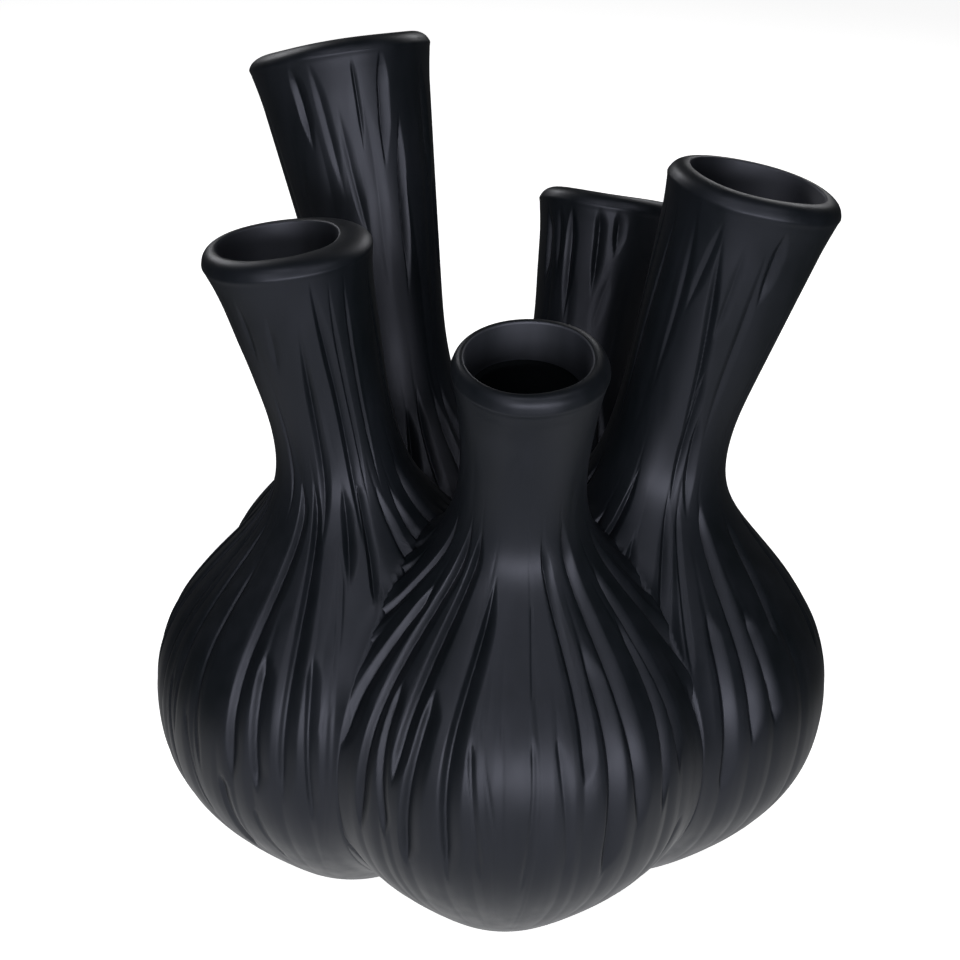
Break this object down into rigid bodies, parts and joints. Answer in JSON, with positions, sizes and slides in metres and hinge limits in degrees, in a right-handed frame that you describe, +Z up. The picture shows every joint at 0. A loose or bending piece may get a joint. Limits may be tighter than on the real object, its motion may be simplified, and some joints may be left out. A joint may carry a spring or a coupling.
{
  "type": "vase",
  "caption": "Ring of merged ribbed bulbs with long necks that lean outwards and flare to rounded mouths, sharing one hollow, in satin black ceramic.",
  "frame": {"origin": "middle of the bounding box, on the surface that the feet stand on", "axes": "+Z up, -Y towards the shortest neck at the front, +X to its right"},
  "size_m": [0.2324, 0.2308, 0.2765],
  "materials": {
    "glaze": "satin, near-black"
  },
  "bodies": {
    "root": {"bulb_front": "glaze", "bulb_right": "glaze", "bulb_back_right": "glaze", "bulb_back_left": "glaze", "bulb_left": "glaze", "neck_front": "glaze", "neck_right": "glaze", "neck_back_right": "glaze", "neck_back_left": "glaze", "neck_left": "glaze"}
  },
  "joints": []
}
